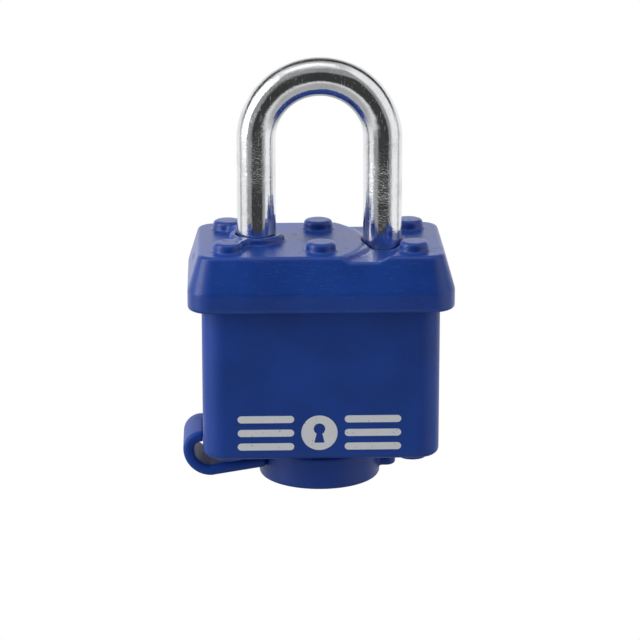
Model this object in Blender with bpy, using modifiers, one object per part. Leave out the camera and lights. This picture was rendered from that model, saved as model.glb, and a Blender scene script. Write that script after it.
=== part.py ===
# Laminated padlock in a two-part moulded weather cover, with a hinged keyway cover.
# Metres, +Z up. The origin is the middle of the keyway cover's flat underside, +X runs
# from the heel leg of the shackle to its toe leg, and -Y is the front.
# The lock stands closed, with its plug turned to the open position: the levers are
# drawn back, so that the shackle can rise. Turning the plug by -90 degrees locks it.

import math

import bmesh
import bpy
from mathutils import Matrix, Vector

MM = 0.001

# Gaps
FIT = 0.3 * MM  # between two pieces that touch or slide on each other
PLATE_GAP = 0.1 * MM  # between two laminations of the riveted stack
WELD = 0.001 * MM  # points nearer than this become one

# Laminated body
BODY_WIDTH = 39.7 * MM
BODY_DEPTH = 21.9 * MM
BODY_CORNER = 3.0 * MM
PLATE_COUNT = 14
PLATE_THICKNESS = 2.3 * MM
PLATES_ABOVE_LEVERS = 2
CYLINDER_PLATES = 8  # plates that surround the cylinder, above the bottom plate

# Rivets, in three columns and two rows
RIVET_RADIUS = 1.15 * MM
RIVET_HEAD_RADIUS = 1.85 * MM
RIVET_HEAD_HEIGHT = 0.9 * MM
RIVET_HEAD_FLAT = 0.7  # share of the head's radius that is flat on top
RIVET_COLUMN = 16.8 * MM
RIVET_ROW = 8.2 * MM

# Lower jacket
JACKET_WALL = 1.5 * MM
JACKET_FLOOR = 2.3 * MM
JACKET_CORNER = 4.2 * MM
JACKET_BOTTOM_ROUND = 1.3 * MM
JACKET_BOTTOM_BENDS = [math.radians(a) for a in (90, 60, 30, 0)]
JACKET_FOOT_RADIUS = 2.7 * MM
JACKET_FOOT_HEIGHT = 0.8 * MM
JACKET_SHORT_OF_BODY = 2.0 * MM  # from the top plate down to the jacket's rim

# Upper cover
COVER_TOP = 2.0 * MM
COVER_SKIRT = 2.2 * MM
COVER_BAND = 3.6 * MM
COVER_SLOPE_HEIGHT = 6.4 * MM
COVER_SLOPE_SIDE = 1.95 * MM  # how far the slope leans in at the left and right
COVER_SLOPE_FRONT = 2.25 * MM  # how far the slope leans in at the front and back
COVER_CORNER = 4.6 * MM
COVER_EDGE_ROUND = 0.6 * MM
SMALLEST_CORNER = 0.5 * MM
BUMP_RADIUS = 2.65 * MM
BUMP_HEIGHT = 1.6 * MM
BUMP_EDGE = 0.4 * MM
COLLAR_RADIUS = 5.1 * MM
COLLAR_HEIGHT = 1.3 * MM
CHANNEL_DEPTH = 0.9 * MM
CHANNEL_BEYOND_TOE = 0.25 * MM  # from the circle of the toe leg's axis out to the channel's middle
CHANNEL_WALL_SLOPE = 1.5 * MM

# Shackle
ROD = 7.14 * MM
LEG_SPACING = 23.0 * MM
SHACKLE_CLEARANCE = 26.8 * MM  # from the cover's top face to the inside of the bow
SHACKLE_LIFT = 12.0 * MM
TOE_OVER_CHANNEL = 0.5 * MM  # what the raised toe clears the swing channel by
HEEL_BELOW_GROOVE = 5.6 * MM
LEG_END_CHAMFER = 1.0 * MM
SHACKLE_SPRING_WIRE = 0.8 * MM
SHACKLE_SPRING_TURNS = 4

# Locking levers and the cam between them
LEVER_TRAVEL = 1.6 * MM
LEVER_THICKNESS = 1.8 * MM
LEVER_NOSE_HALF = 2.5 * MM
LEVER_BLOCK = 1.2 * MM
LEVER_NOSE_LENGTH = 1.0 * MM
LEVER_ARM = 1.6 * MM
LEVER_HOOK = 1.2 * MM
LEVER_HOOK_DROP = 1.0 * MM
LEVER_SLOT_HALF = 6.0 * MM
LEVER_SPRING_WIRE = 0.3 * MM
LEVER_SPRING_TURNS = 3
CAM_REACH = 2.3 * MM
CAM_LOBE = 0.9 * MM
CAM_HUB = 1.9 * MM
CAM_REST_ANGLE = math.radians(-50)
CAM_PLAY = 0.85 * MM  # from the lobe's middle line to the hook it draws back

# Cylinder
PLUG_RADIUS = 4.7 * MM
PLUG_FACE_RADIUS = 4.0 * MM
PLUG_NECK_RADIUS = 2.2 * MM
PLUG_TAIL_RADIUS = 1.1 * MM
SHELL_WALL = 1.1 * MM
PIN_HOUSING_END = 13.2 * MM
PIN_HOUSING_HALF = 2.6 * MM
PIN_COUNT = 4
PIN_PITCH = 3.8 * MM
FIRST_PIN_ABOVE_SHELL = 3.6 * MM
PIN_RADIUS = 1.0 * MM
PIN_CLEARANCE = 0.21 * MM
KEY_PIN_LENGTH = 2.4 * MM
KEY_PIN_STEP = 0.25 * MM  # each key pin is this much shorter than the one below it
KEY_PIN_TIP = 0.5  # share of the pin's radius at its blunt tip
KEY_PIN_TAPER = 0.6 * MM
DRIVER_PIN_LENGTH = 2.9 * MM
PIN_SPRING_WIRE = 0.36 * MM
PIN_SPRING_TURNS = 4
CHAMBER_COVER = 0.6 * MM
KEYWAY_WIDTH = 1.9 * MM
KEYWAY_HEIGHT = 7.4 * MM

# Keyway cover and its strap
CAP_RADIUS = 11.2 * MM
CAP_HEIGHT = 6.0 * MM
CAP_WALL = 1.4 * MM
CAP_BOTTOM_ROUND = 1.0 * MM
CAP_SPIGOT_HEIGHT = 1.9 * MM
CAP_SPIGOT_RADIUS = 5.3 * MM
CAP_SPIGOT_WALL = 1.1 * MM
TAB_LENGTH = 2.9 * MM
TAB_WIDTH = 6.0 * MM
TAB_THICKNESS = 1.8 * MM
TAB_CORNER = 1.74 * MM
TAB_DROP = 2.2 * MM  # from the cover's rim down to the tab
STRAP_WIDTH = 12.5 * MM
STRAP_THICKNESS = 2.0 * MM
STRAP_RISE = 2.45 * MM  # from the jacket's underside up to the strap's root
STRAP_BULGE = 2.4 * MM  # how far the loop stands out from its root
STRAP_DROP = 4.15 * MM  # from the loop's widest point down to its lowest
STRAP_AT_CAP = 3.7 * MM  # height of the strap where it meets the keyway cover
HINGE_INSET = 0.75 * MM  # from the jacket's left wall in to the axis the strap's loop bends about

# Number of sides of round shapes
SIDES_LARGE = 32
SIDES_PLUG = 24
SIDES_LEG = 16
SIDES_SMALL = 10
SIDES_COIL = 8  # in one turn of a small spring
SIDES_WIRE = 6
SIDES_THIN_WIRE = 4
CORNER_STEPS = 3
TAB_CORNER_STEPS = 4
CAM_LOBE_STEPS = 6
CAM_HUB_STEPS = 5
STRAP_BULGE_STEPS = 5
STRAP_DROP_STEPS = 7

# Heights that follow from the sizes above
JACKET_Z = CAP_HEIGHT + FIT
BODY_Z = JACKET_Z + JACKET_FLOOR + FIT
PLATE_PITCH = PLATE_THICKNESS + PLATE_GAP
BODY_TOP = BODY_Z + PLATE_COUNT * PLATE_PITCH - PLATE_GAP
COVER_CEILING = BODY_TOP + FIT
TOP_FACE = COVER_CEILING + COVER_TOP
BAND_TOP = TOP_FACE - COVER_SLOPE_HEIGHT
BAND_BOTTOM = BAND_TOP - COVER_BAND
JACKET_TOP = BODY_TOP - JACKET_SHORT_OF_BODY
LEVER_PLATE = PLATE_COUNT - PLATES_ABOVE_LEVERS  # counted from 1 at the bottom
LEVER_MID = BODY_Z + (LEVER_PLATE - 1) * PLATE_PITCH + PLATE_THICKNESS / 2
SHELL_Z = BODY_Z + PLATE_THICKNESS + FIT
SHELL_TOP = BODY_Z + (CYLINDER_PLATES + 1) * PLATE_PITCH - PLATE_GAP - FIT

# Widths that follow from the sizes above
ROD_RADIUS = ROD / 2
LEG_X = LEG_SPACING / 2
LEG_HOLE = (ROD_RADIUS + FIT) / math.cos(math.pi / SIDES_LEG)
RIVET_HOLE = (RIVET_RADIUS + FIT / 2) / math.cos(math.pi / SIDES_SMALL)
HEAD_POCKET = RIVET_HEAD_RADIUS + FIT
POCKET_WIDTH = BODY_WIDTH + 2 * FIT
POCKET_DEPTH = BODY_DEPTH + 2 * FIT
JACKET_WIDTH = POCKET_WIDTH + 2 * JACKET_WALL
JACKET_DEPTH = POCKET_DEPTH + 2 * JACKET_WALL
BAND_WIDTH = JACKET_WIDTH + 2 * (FIT + COVER_SKIRT)
BAND_DEPTH = JACKET_DEPTH + 2 * (FIT + COVER_SKIRT)
PLUG_BORE = (PLUG_RADIUS + FIT / 2) / math.cos(math.pi / SIDES_PLUG)
SHELL_RADIUS = PLUG_BORE + SHELL_WALL
CHAMBER = PIN_RADIUS + PIN_CLEARANCE
CHANNEL_MID = LEG_SPACING + CHANNEL_BEYOND_TOE
CHANNEL_HALF = ROD_RADIUS
TOE_Z = TOP_FACE - CHANNEL_DEPTH + TOE_OVER_CHANNEL - SHACKLE_LIFT
NOTCH_HALF = LEVER_THICKNESS / 2 + FIT
GROOVE_MID = LEVER_MID - SHACKLE_LIFT
HEEL_Z = GROOVE_MID - NOTCH_HALF - HEEL_BELOW_GROOVE
BOW_Z = TOP_FACE + SHACKLE_CLEARANCE - (LEG_X - ROD_RADIUS)
NOSE_X = LEG_X - ROD_RADIUS - FIT  # tip of a lever that is drawn back
RIVET_SPOTS = [(x, y) for y in (-RIVET_ROW, RIVET_ROW) for x in (-RIVET_COLUMN, 0.0, RIVET_COLUMN)]

# Material name: colour, metallic, roughness
MATERIALS = {
    "cover_blue": ((0.012, 0.040, 0.215, 1.0), 0.0, 0.42),
    "cover_blue_light": ((0.016, 0.052, 0.235, 1.0), 0.0, 0.38),
    "strap_blue": ((0.014, 0.045, 0.205, 1.0), 0.0, 0.40),
    "chrome": ((0.86, 0.87, 0.89, 1.0), 1.0, 0.09),
    "plate_steel": ((0.55, 0.56, 0.58, 1.0), 1.0, 0.38),
    "rivet_steel": ((0.62, 0.62, 0.64, 1.0), 1.0, 0.30),
    "lever_steel": ((0.42, 0.43, 0.45, 1.0), 1.0, 0.35),
    "spring_steel": ((0.60, 0.61, 0.63, 1.0), 1.0, 0.25),
    "brass": ((0.74, 0.56, 0.26, 1.0), 1.0, 0.30),
    "pin_brass": ((0.80, 0.64, 0.32, 1.0), 1.0, 0.22),
}


def clear_scene():
    for old in list(bpy.data.objects):
        bpy.data.objects.remove(old)


def new_collection(name):
    made = bpy.data.collections.new(name)
    bpy.context.scene.collection.children.link(made)
    return made


clear_scene()
PARTS = new_collection("padlock")
CUTTERS = new_collection("cutters")
CUTTERS.hide_render = True


def make_material(slot, name):
    """A material for one piece, from the finish of its slot."""
    colour, metallic, roughness = MATERIALS[slot]
    made = bpy.data.materials.new(name)
    made.use_nodes = True
    shader = made.node_tree.nodes["Principled BSDF"]
    shader.inputs["Base Color"].default_value = colour
    shader.inputs["Metallic"].default_value = metallic
    shader.inputs["Roughness"].default_value = roughness
    return made


def add_part(name, data, slot, location=(0, 0, 0)):
    """Places a finished sub-part in the padlock's collection."""
    part = bpy.data.objects.new(name, data)
    part.location = location
    PARTS.objects.link(part)
    part.data.materials.append(make_material(slot, name + "_" + slot))
    return part


def add_cutter(name, data, location=(0, 0, 0)):
    tool = bpy.data.objects.new(name, data)
    tool.location = location
    tool.hide_render = True
    tool.display_type = "WIRE"
    CUTTERS.objects.link(tool)
    return tool


def boolean(part, tool, operation="DIFFERENCE"):
    step = part.modifiers.new(tool.name, "BOOLEAN")
    step.operation = operation
    step.object = tool
    return step


def smooth(mesh, degrees=35):
    mesh.shade_smooth()
    mesh.set_sharp_from_angle(angle=math.radians(degrees))


# Outlines in the XY plane, counter-clockwise


def arc(cx, cy, radius, start, end, steps):
    turns = [start + (end - start) * i / steps for i in range(steps + 1)]
    return [(cx + radius * math.cos(a), cy + radius * math.sin(a)) for a in turns]


def circle(cx, cy, radius, sides):
    # Half a step round, so that flats and not corners lie on the axes.
    first = math.pi / sides
    return arc(cx, cy, radius, first, first + 2 * math.pi, sides)[:-1]


def rounded_rectangle(width, depth, corner, steps=CORNER_STEPS):
    x = width / 2 - corner
    y = depth / 2 - corner
    quarter = math.pi / 2
    points = []
    for i, (sx, sy) in enumerate(((1, 1), (-1, 1), (-1, -1), (1, -1))):
        points += arc(sx * x, sy * y, corner, i * quarter, (i + 1) * quarter, steps)
    return points


def mirrored(outline):
    """The outline turned by half a turn about the origin."""
    return [(-x, -y) for x, y in outline]


# Solids


def flat_mesh(name, outlines, low, high):
    """A flat plate between two heights: the first outline is its edge, the others are its holes."""
    curve = bpy.data.curves.new(name, "CURVE")
    curve.dimensions = "2D"
    curve.fill_mode = "BOTH"
    curve.extrude = (high - low) / 2
    for outline in outlines:
        spline = curve.splines.new("POLY")
        spline.points.add(len(outline) - 1)
        for point, (x, y) in zip(spline.points, outline):
            point.co = (x, y, 0, 1)
        spline.use_cyclic_u = True
    return curve_to_mesh(name, curve, Matrix.Translation((0, 0, (low + high) / 2)))


def curve_to_mesh(name, curve, place=Matrix.Identity(4)):
    """Turns a curve into a closed mesh, with its caps welded on."""
    guide = bpy.data.objects.new(name + "_curve", curve)
    bpy.context.scene.collection.objects.link(guide)
    graph = bpy.context.evaluated_depsgraph_get()
    mesh = bpy.data.meshes.new_from_object(guide.evaluated_get(graph))
    mesh.name = name
    bpy.data.objects.remove(guide)
    shape = bmesh.new()
    shape.from_mesh(mesh)
    bmesh.ops.remove_doubles(shape, verts=shape.verts, dist=WELD)
    bmesh.ops.recalc_face_normals(shape, faces=shape.faces)
    bmesh.ops.transform(shape, matrix=place, verts=shape.verts)
    shape.to_mesh(mesh)
    shape.free()
    return mesh


def wire_mesh(name, points, radius, sides, radii=None):
    """A round rod along the points, with an even number of sides, 4 or more."""
    curve = bpy.data.curves.new(name, "CURVE")
    curve.dimensions = "3D"
    curve.bevel_depth = radius
    curve.bevel_resolution = (sides - 4) // 2
    curve.use_fill_caps = True
    spline = curve.splines.new("POLY")
    spline.points.add(len(points) - 1)
    for i, point in enumerate(points):
        spline.points[i].co = (*point, 1)
        spline.points[i].radius = radii[i] if radii else 1.0
    return curve_to_mesh(name, curve)


def coil_points(radius, length, turns, per_turn):
    """A coil along +Z from the origin."""
    count = turns * per_turn
    points = []
    for i in range(count + 1):
        turn = 2 * math.pi * i / per_turn
        points.append((radius * math.cos(turn), radius * math.sin(turn), length * i / count))
    return points


def loft_mesh(name, rings):
    """Skins a stack of outlines with equal point counts, each (outline, height), from the bottom up."""
    shape = bmesh.new()
    loops = [[shape.verts.new((x, y, z)) for x, y in outline] for outline, z in rings]
    for below, above in zip(loops, loops[1:]):
        for i in range(len(below)):
            j = (i + 1) % len(below)
            shape.faces.new((below[i], below[j], above[j], above[i]))
    shape.faces.new(reversed(loops[0]))
    shape.faces.new(loops[-1])
    mesh = bpy.data.meshes.new(name)
    shape.to_mesh(mesh)
    shape.free()
    return mesh


def profile_mesh(name, profile):
    """An open profile of (radius, height) points in the XZ plane, for a Screw."""
    mesh = bpy.data.meshes.new(name)
    edges = [(i, i + 1) for i in range(len(profile) - 1)]
    mesh.from_pydata([(r, 0, z) for r, z in profile], edges, [])
    return mesh


def screw(part, sides):
    step = part.modifiers.new("Screw", "SCREW")
    step.axis = "Z"
    step.steps = sides
    step.render_steps = sides
    step.use_merge_vertices = True
    step.merge_threshold = WELD
    step.use_smooth_shade = True
    return step


def rod_cutter(name, radius, low, high, sides, place=Matrix.Identity(4)):
    """A round cutter along the local Z axis, with flats and not corners on the axes."""
    shape = bmesh.new()
    bmesh.ops.create_cone(
        shape, cap_ends=True, segments=sides, radius1=radius, radius2=radius, depth=high - low
    )
    turn = Matrix.Rotation(math.pi / sides, 4, "Z")
    bmesh.ops.transform(
        shape, matrix=place @ Matrix.Translation((0, 0, (low + high) / 2)) @ turn, verts=shape.verts
    )
    mesh = bpy.data.meshes.new(name)
    shape.to_mesh(mesh)
    shape.free()
    return add_cutter(name, mesh)


def box_cutter(name, low, high):
    low = Vector(low)
    high = Vector(high)
    shape = bmesh.new()
    bmesh.ops.create_cube(shape, size=1)
    size = high - low
    place = Matrix.Translation((low + high) / 2) @ Matrix.Diagonal((*size, 1))
    bmesh.ops.transform(shape, matrix=place, verts=shape.verts)
    mesh = bpy.data.meshes.new(name)
    shape.to_mesh(mesh)
    shape.free()
    return add_cutter(name, mesh)


def box_shell(width, depth, corner, levels):
    """Rings of a rounded box: each level is (height, how far the outline is drawn in)."""
    return [
        (rounded_rectangle(width - 2 * inset, depth - 2 * inset, max(corner - inset, SMALLEST_CORNER)), z)
        for z, inset in levels
    ]


# Weather cover


def make_jacket():
    bend = JACKET_BOTTOM_ROUND
    levels = []
    for angle in JACKET_BOTTOM_BENDS:
        levels.append((JACKET_Z + bend * (1 - math.sin(angle)), bend * (1 - math.cos(angle))))
    levels.append((JACKET_TOP, 0))
    rings = box_shell(JACKET_WIDTH, JACKET_DEPTH, JACKET_CORNER, levels)
    jacket = add_part("jacket", loft_mesh("jacket", rings), "cover_blue")
    feet = [spot for spot in RIVET_SPOTS if spot[0] != 0]
    for i, (x, y) in enumerate(feet):
        low = JACKET_Z - JACKET_FOOT_HEIGHT
        foot = rod_cutter(
            f"jacket_foot_{i + 1}",
            JACKET_FOOT_RADIUS,
            low,
            JACKET_Z + JACKET_FLOOR / 2,
            SIDES_LEG,
            Matrix.Translation((x, y, 0)),
        )
        boolean(jacket, foot, "UNION")
    floor = JACKET_Z + JACKET_FLOOR
    above = JACKET_TOP + JACKET_WALL
    pocket = rounded_rectangle(POCKET_WIDTH, POCKET_DEPTH, BODY_CORNER)
    pocket_mesh = loft_mesh("jacket_pocket", [(pocket, floor), (pocket, above)])
    boolean(jacket, add_cutter("jacket_pocket", pocket_mesh))
    hole = CAP_SPIGOT_RADIUS + FIT
    boolean(jacket, rod_cutter("key_hole", hole, JACKET_Z - FIT, floor + FIT, SIDES_PLUG))
    for i, (x, y) in enumerate(RIVET_SPOTS):
        low = BODY_Z - RIVET_HEAD_HEIGHT - 2 * FIT
        place = Matrix.Translation((x, y, 0))
        name = f"lower_head_pocket_{i + 1}"
        boolean(jacket, rod_cutter(name, HEAD_POCKET, low, BODY_Z, SIDES_SMALL, place))
    return jacket


def make_top_cover():
    edge = COVER_EDGE_ROUND
    band = rounded_rectangle(BAND_WIDTH, BAND_DEPTH, COVER_CORNER)
    lip = rounded_rectangle(BAND_WIDTH - 2 * edge, BAND_DEPTH - 2 * edge, COVER_CORNER - edge)
    top_width = BAND_WIDTH - 2 * COVER_SLOPE_SIDE
    top_depth = BAND_DEPTH - 2 * COVER_SLOPE_FRONT
    share = 1 - edge / COVER_SLOPE_HEIGHT
    under_width = BAND_WIDTH - 2 * COVER_SLOPE_SIDE * share
    under_depth = BAND_DEPTH - 2 * COVER_SLOPE_FRONT * share
    top_corner = COVER_CORNER - COVER_SLOPE_SIDE
    rings = [
        (lip, BAND_BOTTOM),
        (band, BAND_BOTTOM + edge),
        (band, BAND_TOP),
        (rounded_rectangle(under_width, under_depth, top_corner + edge), TOP_FACE - edge),
        (rounded_rectangle(top_width - edge, top_depth - edge, top_corner), TOP_FACE),
    ]
    cover = add_part("top_cover", loft_mesh("top_cover", rings), "cover_blue_light")
    for i, spot in enumerate(RIVET_SPOTS):
        boolean(cover, make_bump(i, spot), "UNION")
    start = math.pi / 2
    outline = arc(-LEG_X, 0, COLLAR_RADIUS, start, 2 * math.pi, SIDES_LEG)
    outline.append((-LEG_X, 0))
    collar = flat_mesh("collar", [outline], COVER_CEILING + COVER_TOP / 2, TOP_FACE + COLLAR_HEIGHT)
    boolean(cover, add_cutter("heel_collar", collar), "UNION")
    boolean(cover, make_channel())
    step = JACKET_TOP + FIT
    wide = rounded_rectangle(JACKET_WIDTH + 2 * FIT, JACKET_DEPTH + 2 * FIT, JACKET_CORNER + FIT)
    narrow = rounded_rectangle(POCKET_WIDTH, POCKET_DEPTH, BODY_CORNER)
    hollow = [(wide, BAND_BOTTOM - COVER_BAND), (wide, step), (narrow, step), (narrow, COVER_CEILING)]
    boolean(cover, add_cutter("cover_hollow", loft_mesh("cover_hollow", hollow)))
    for i, (x, y) in enumerate(RIVET_SPOTS):
        high = BODY_TOP + RIVET_HEAD_HEIGHT + 2 * FIT
        place = Matrix.Translation((x, y, 0))
        name = f"upper_head_pocket_{i + 1}"
        boolean(cover, rod_cutter(name, HEAD_POCKET, BODY_TOP, high, SIDES_SMALL, place))
    for name, x in (("heel", -LEG_X), ("toe", LEG_X)):
        high = TOP_FACE + COLLAR_HEIGHT + COVER_TOP
        place = Matrix.Translation((x, 0, 0))
        boolean(cover, rod_cutter(f"cover_{name}_hole", LEG_HOLE, BODY_TOP, high, SIDES_LEG, place))
    return cover


def make_bump(index, spot):
    """A round-edged bump that houses a rivet head under the cover's top."""
    profile = [
        (0, TOP_FACE + BUMP_HEIGHT),
        (BUMP_RADIUS - BUMP_EDGE, TOP_FACE + BUMP_HEIGHT),
        (BUMP_RADIUS, TOP_FACE + BUMP_HEIGHT - BUMP_EDGE),
        (BUMP_RADIUS, TOP_FACE - COVER_TOP / 2),
        (0, TOP_FACE - COVER_TOP / 2),
    ]
    name = f"bump_{index + 1}"
    bump = add_cutter(name, profile_mesh(name, profile), (*spot, 0))
    screw(bump, SIDES_LEG)
    return bump


def make_channel():
    """The shallow track that the toe leg swings in, round the heel leg's axis."""
    inner = CHANNEL_MID - CHANNEL_HALF
    outer = CHANNEL_MID + CHANNEL_HALF
    slope = CHANNEL_WALL_SLOPE
    above = TOP_FACE + BUMP_HEIGHT + FIT
    profile = [
        (inner, above),
        (outer, above),
        (outer, TOP_FACE),
        (outer - slope, TOP_FACE - CHANNEL_DEPTH),
        (inner + slope, TOP_FACE - CHANNEL_DEPTH),
        (inner, TOP_FACE),
        (inner, above),
    ]
    channel = add_cutter("swing_channel", profile_mesh("swing_channel", profile), (-LEG_X, 0, 0))
    screw(channel, 2 * SIDES_LARGE)
    return channel


# Laminated body


def hole_outlines(index):
    """The holes of one lamination, counted from 1 at the bottom."""
    holes = [circle(x, y, RIVET_HOLE, SIDES_SMALL) for x, y in RIVET_SPOTS]
    heel = circle(-LEG_X, 0, LEG_HOLE, SIDES_LEG)
    toe = circle(LEG_X, 0, LEG_HOLE, SIDES_LEG)
    low = BODY_Z + (index - 1) * PLATE_PITCH
    if index == 1:
        return holes + [circle(0, 0, PLUG_FACE_RADIUS + FIT, SIDES_PLUG)]
    if index == LEVER_PLATE:
        length = 2 * (LEG_X + ROD_RADIUS + FIT)
        return holes + [rounded_rectangle(length, 2 * LEVER_SLOT_HALF, ROD_RADIUS)]
    holes.append(heel)
    if index <= CYLINDER_PLATES + 1:
        return holes + [cylinder_outline(FIT, CHAMBER_COVER + FIT)]
    if index < LEVER_PLATE:
        holes.append(circle(0, 0, PLUG_NECK_RADIUS + FIT, SIDES_SMALL))
    if low + PLATE_PITCH > TOE_Z - FIT:
        holes.append(toe)
    return holes


def cylinder_outline(grow, past_end):
    """The round shell with the pin housing on its +X side, grown by a clearance."""
    radius = SHELL_RADIUS + grow
    half = PIN_HOUSING_HALF + grow
    side = math.asin(half / radius)
    outline = arc(0, 0, radius, side, 2 * math.pi - side, SIDES_PLUG)
    end = PIN_HOUSING_END + grow + past_end
    return outline + [(end, -half), (end, half)]


def make_plates():
    edge = rounded_rectangle(BODY_WIDTH, BODY_DEPTH, BODY_CORNER)
    for index in range(1, PLATE_COUNT + 1):
        low = BODY_Z + (index - 1) * PLATE_PITCH
        name = f"plate_{index:02d}"
        mesh = flat_mesh(name, [edge] + hole_outlines(index), low, low + PLATE_THICKNESS)
        add_part(name, mesh, "plate_steel")


def make_rivets():
    """Rivets that hold the stack, each with a set head at both ends."""
    shank = RIVET_RADIUS
    head = RIVET_HEAD_RADIUS
    rise = RIVET_HEAD_HEIGHT
    seat_low = BODY_Z - PLATE_GAP
    seat_high = BODY_TOP + PLATE_GAP
    profile = [
        (0, seat_high + rise),
        (head * RIVET_HEAD_FLAT, seat_high + rise),
        (head, seat_high + rise / 2),
        (head, seat_high),
        (shank, seat_high),
        (shank, seat_low),
        (head, seat_low),
        (head, seat_low - rise / 2),
        (head * RIVET_HEAD_FLAT, seat_low - rise),
        (0, seat_low - rise),
    ]
    mesh = profile_mesh("rivet", profile)
    for i, (x, y) in enumerate(RIVET_SPOTS):
        rivet = add_part(f"rivet_{i + 1}", mesh.copy(), "rivet_steel", (x, y, 0))
        screw(rivet, SIDES_SMALL)


# Shackle and locking levers


def make_shackle():
    steps = SIDES_LEG
    bow = [(LEG_X * math.cos(math.pi * (1 - i / steps)), 0) for i in range(steps + 1)]
    heights = [BOW_Z + LEG_X * math.sin(math.pi * i / steps) for i in range(steps + 1)]
    points = [(-LEG_X, 0, HEEL_Z), (-LEG_X, 0, HEEL_Z + LEG_END_CHAMFER)]
    points += [(x, y, z) for (x, y), z in zip(bow, heights)]
    points += [(LEG_X, 0, TOE_Z + LEG_END_CHAMFER), (LEG_X, 0, TOE_Z)]
    end = 1 - LEG_END_CHAMFER / ROD_RADIUS
    radii = [end] + [1.0] * (len(points) - 2) + [end]
    mesh = wire_mesh("shackle", points, ROD_RADIUS, SIDES_LEG, radii)
    smooth(mesh)
    shackle = add_part("shackle", mesh, "chrome")
    reach = 2 * ROD_RADIUS
    floor = LEG_X - ROD_RADIUS + LEVER_TRAVEL
    low = LEVER_MID - NOTCH_HALF
    high = LEVER_MID + NOTCH_HALF
    boolean(shackle, box_cutter("heel_notch", (-floor, -reach, low), (0, reach, high)))
    boolean(shackle, box_cutter("toe_notch", (0, -reach, low), (floor, reach, high)))
    core = ROD_RADIUS - LEVER_TRAVEL
    low = GROOVE_MID - NOTCH_HALF
    high = GROOVE_MID + NOTCH_HALF
    profile = [(core, high), (reach, high), (reach, low), (core, low), (core, high)]
    groove = add_cutter("heel_groove", profile_mesh("heel_groove", profile), (-LEG_X, 0, 0))
    screw(groove, SIDES_LEG)
    boolean(shackle, groove)
    return shackle


def make_shackle_spring():
    seat = BODY_Z + PLATE_THICKNESS + FIT + SHACKLE_SPRING_WIRE / 2
    length = HEEL_Z - FIT - SHACKLE_SPRING_WIRE / 2 - seat
    radius = ROD_RADIUS - SHACKLE_SPRING_WIRE
    points = coil_points(radius, length, SHACKLE_SPRING_TURNS, SIDES_SMALL)
    mesh = wire_mesh("shackle_spring", points, SHACKLE_SPRING_WIRE / 2, SIDES_WIRE)
    smooth(mesh)
    add_part("shackle_spring", mesh, "spring_steel", (-LEG_X, 0, seat))


def lever_outline():
    """The heel lever, drawn back: a nose, a block across it and an arm with a hook that the cam draws."""
    tip = -NOSE_X
    shoulder = tip + LEVER_NOSE_LENGTH
    back = shoulder + LEVER_BLOCK
    outer = -(LEVER_SLOT_HALF - 2 * FIT)
    inner = outer + LEVER_ARM
    face = CAM_REACH * math.cos(CAM_REST_ANGLE) + CAM_PLAY
    end = face + LEVER_HOOK
    return [
        (tip, -LEVER_NOSE_HALF),
        (shoulder, outer),
        (end, outer),
        (end, inner + LEVER_HOOK_DROP),
        (face, inner + LEVER_HOOK_DROP),
        (face, inner),
        (back, inner),
        (back, -outer),
        (shoulder, -outer),
        (tip, LEVER_NOSE_HALF),
    ]


def make_levers():
    low = LEVER_MID - LEVER_THICKNESS / 2
    high = LEVER_MID + LEVER_THICKNESS / 2
    outline = lever_outline()
    add_part("heel_lever", flat_mesh("heel_lever", [outline], low, high), "lever_steel")
    add_part("toe_lever", flat_mesh("toe_lever", [mirrored(outline)], low, high), "lever_steel")
    arm_end = CAM_REACH * math.cos(CAM_REST_ANGLE) + CAM_PLAY + LEVER_HOOK
    block = NOSE_X - LEVER_NOSE_LENGTH - LEVER_BLOCK
    middle = -(LEVER_SLOT_HALF - 2 * FIT) + LEVER_ARM / 2
    radius = LEVER_ARM / 2 - LEVER_SPRING_WIRE / 2
    length = block - arm_end - 2 * FIT - LEVER_SPRING_WIRE
    start = arm_end + FIT + LEVER_SPRING_WIRE / 2
    points = coil_points(radius, length, LEVER_SPRING_TURNS, SIDES_COIL)
    along = [(start + z, middle + y, LEVER_MID + x) for x, y, z in points]
    other = [(-x, -y, z) for x, y, z in along]
    for name, path in (("front_lever_spring", along), ("back_lever_spring", other)):
        mesh = wire_mesh(name, path, LEVER_SPRING_WIRE / 2, SIDES_THIN_WIRE)
        smooth(mesh)
        add_part(name, mesh, "spring_steel")


def make_cam():
    """The two-lobed cam on the plug's tail."""
    low = LEVER_MID - LEVER_THICKNESS / 2
    high = LEVER_MID + LEVER_THICKNESS / 2
    waist = math.acos((CAM_HUB - CAM_LOBE) / CAM_REACH)
    half = math.pi / 2
    outline = []
    for side in (0, math.pi):
        cx = CAM_REACH * math.cos(side)
        cy = CAM_REACH * math.sin(side)
        outline += arc(cx, cy, CAM_LOBE, side - half, side + half, CAM_LOBE_STEPS)
        outline += arc(0, 0, CAM_HUB, side + waist, side + math.pi - waist, CAM_HUB_STEPS)
    turned = [
        (
            x * math.cos(CAM_REST_ANGLE) - y * math.sin(CAM_REST_ANGLE),
            x * math.sin(CAM_REST_ANGLE) + y * math.cos(CAM_REST_ANGLE),
        )
        for x, y in outline
    ]
    hole = circle(0, 0, PLUG_TAIL_RADIUS + FIT / 2, SIDES_SMALL)
    add_part("plug_cam", flat_mesh("plug_cam", [turned, hole], low, high), "lever_steel")


# Cylinder


def pin_heights():
    return [SHELL_Z + FIRST_PIN_ABOVE_SHELL + i * PIN_PITCH for i in range(PIN_COUNT)]


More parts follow.
